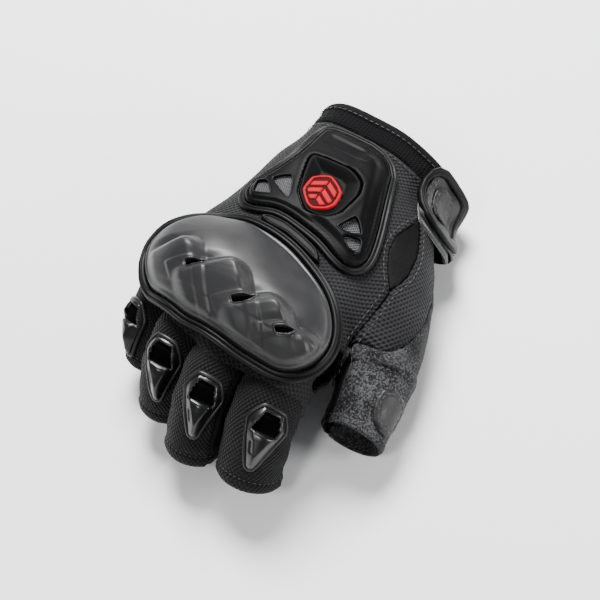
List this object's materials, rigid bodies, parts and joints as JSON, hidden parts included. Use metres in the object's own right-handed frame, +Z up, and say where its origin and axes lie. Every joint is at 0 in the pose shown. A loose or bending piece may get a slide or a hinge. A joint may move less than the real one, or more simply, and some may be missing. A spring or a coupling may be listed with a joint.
{
  "type": "half-finger riding glove",
  "caption": "Right-hand half-finger riding glove with a moulded knuckle guard, back plate with badge, finger guards, suede palm and a hook-and-loop wrist strap.",
  "frame": {"origin": "centre of the flat face under the heel pad, which the glove rests on, palm down", "axes": "+Y from wrist to fingers, +X towards the little finger (right hand, palm down), +Z up through the back of the hand"},
  "size_m": [0.1272, 0.169, 0.073],
  "materials": {
    "air_mesh": "woven air mesh, matt",
    "knit": "ribbed knit",
    "stretch": "smooth stretch fabric",
    "suede": "brushed suede, matt",
    "leather": "grained synthetic leather",
    "binding": "folded binding tape",
    "satin_shell": "moulded, satin",
    "gloss_shell": "moulded, gloss",
    "rubber": "moulded, matt",
    "bezel_black": "faceted, gloss",
    "badge_red": "soft moulded red",
    "grey_mesh": "fine grey mesh",
    "hook_loop": "hook and loop"
  },
  "bodies": {
    "hand": {"back_panel": "air_mesh", "thumb_web": "air_mesh", "stretch_gusset": "stretch", "palm_panel": "suede", "cuff_knit": "knit", "cuff_binding": "binding", "knuckle_guard": "satin_shell", "guard_rim": "rubber", "wrist_plate": "rubber", "plate_welt": "rubber", "badge_bezel": "bezel_black", "badge": "badge_red", "window_mesh": "grey_mesh", "knuckle_strip": "rubber", "heel_pad": "leather", "palm_patch": "leather", "strap_loop": "hook_loop", "strap_base": "leather"},
    "thumb": {"thumb_back": "suede", "thumb_inner": "stretch", "thumb_palm": "suede", "thumb_patch": "leather"},
    "strap": {"strap": "leather", "strap_hook": "hook_loop", "strap_frame": "rubber", "strap_label": "leather"},
    "index_finger": {"index_back": "air_mesh", "index_palm": "suede", "index_guard": "gloss_shell", "index_guard_welt": "rubber", "index_side_littleward": "stretch"},
    "middle_finger": {"middle_back": "air_mesh", "middle_palm": "suede", "middle_guard": "gloss_shell", "middle_guard_welt": "rubber", "middle_side_thumbward": "stretch", "middle_side_littleward": "stretch"},
    "ring_finger": {"ring_back": "air_mesh", "ring_palm": "suede", "ring_guard": "gloss_shell", "ring_guard_welt": "rubber", "ring_side_thumbward": "stretch", "ring_side_littleward": "stretch"},
    "little_finger": {"little_back": "air_mesh", "little_palm": "suede", "little_guard": "gloss_shell", "little_guard_welt": "rubber", "little_side_thumbward": "stretch"}
  },
  "joints": [
    {"name": "index_flex", "type": "hinge", "parent": "hand", "child": "index_finger", "pos_m": [-0.03219, 0.09154, 0.02821], "axis": [-1, 0, 0], "range_deg": [-10, 45]},
    {"name": "middle_flex", "type": "hinge", "parent": "hand", "child": "middle_finger", "pos_m": [-0.00765, 0.09459, 0.03088], "axis": [-1, 0, 0], "range_deg": [-10, 45]},
    {"name": "ring_flex", "type": "hinge", "parent": "hand", "child": "ring_finger", "pos_m": [0.01527, 0.08765, 0.0294], "axis": [-1, 0, 0], "range_deg": [-10, 45]},
    {"name": "little_flex", "type": "hinge", "parent": "hand", "child": "little_finger", "pos_m": [0.03582, 0.07516, 0.02304], "axis": [-1, 0, 0], "range_deg": [-10, 45]},
    {"name": "thumb_flex", "type": "hinge", "parent": "hand", "child": "thumb", "pos_m": [-0.05706, 0.05709, 0.01844], "axis": [0.645, 0.27, 0.7149], "range_deg": [-20, 20]},
    {"name": "strap_peel", "type": "hinge", "parent": "hand", "child": "strap", "pos_m": [-0.02466, -0.02109, 0.00624], "axis": [0, -1, 0], "range_deg": [0, 100]}
  ]
}
